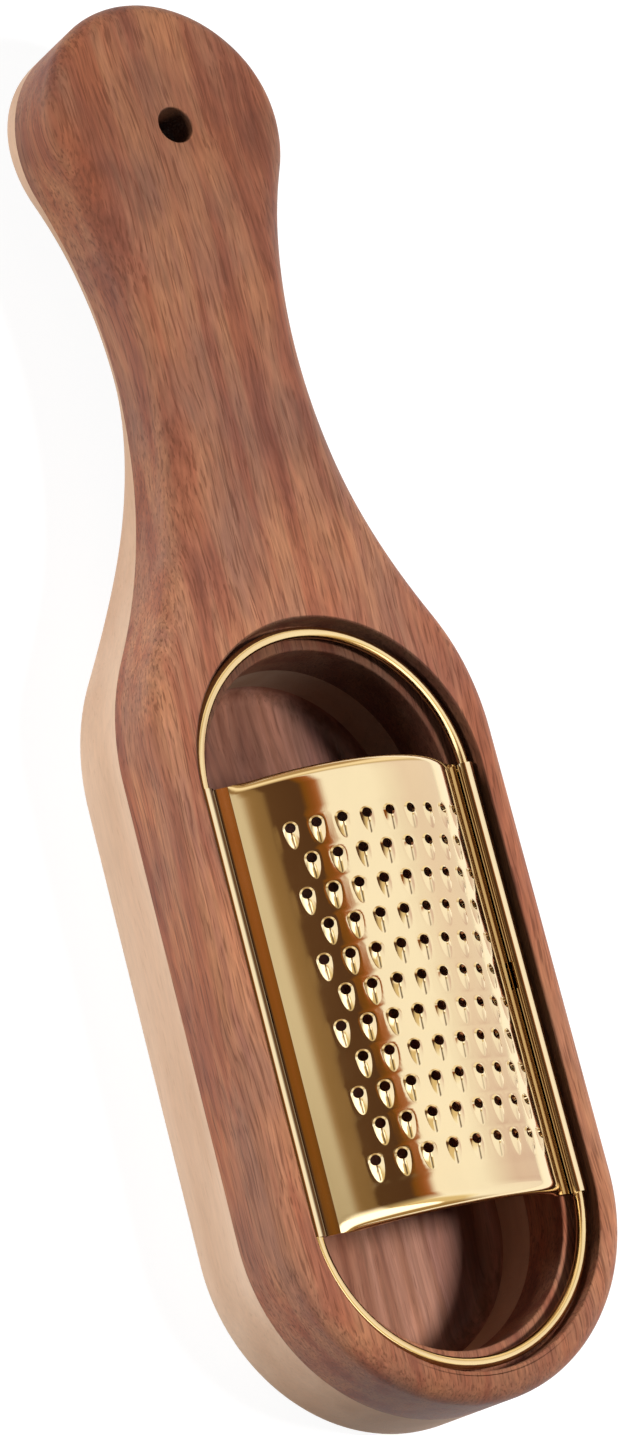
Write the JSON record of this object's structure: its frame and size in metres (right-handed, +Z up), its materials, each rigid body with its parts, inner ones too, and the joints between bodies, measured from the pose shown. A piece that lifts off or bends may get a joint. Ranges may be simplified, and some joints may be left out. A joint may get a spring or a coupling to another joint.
{
  "type": "box grater",
  "caption": "Hand-held wooden grater: a bottle-shaped two-layer board with a deep catch pocket and a lift-off arched grating plate hemmed round a wire loop.",
  "frame": {"origin": "under the middle of the board's overall length and width, on the surface that it rests on", "axes": "+Y from the catch end toward the handle, +X across the board, +Z up out of the grating plate"},
  "size_m": [0.078, 0.2894, 0.0457],
  "materials": {
    "dark_wood": "oiled, walnut-like, grain along the board",
    "light_wood": "oiled, beech-like, grain along the board",
    "gold_metal": "polished, gold-coloured"
  },
  "bodies": {
    "board": {"upper_board": "dark_wood", "lower_board": "light_wood", "floor_panel": "dark_wood"},
    "insert": {"grater_plate": "gold_metal", "wire_frame": "gold_metal"}
  },
  "joints": [
    {"name": "insert_lift", "type": "slide", "parent": "board", "child": "insert", "axis": [0, 0, 1], "range_m": [0, 0.04]}
  ]
}
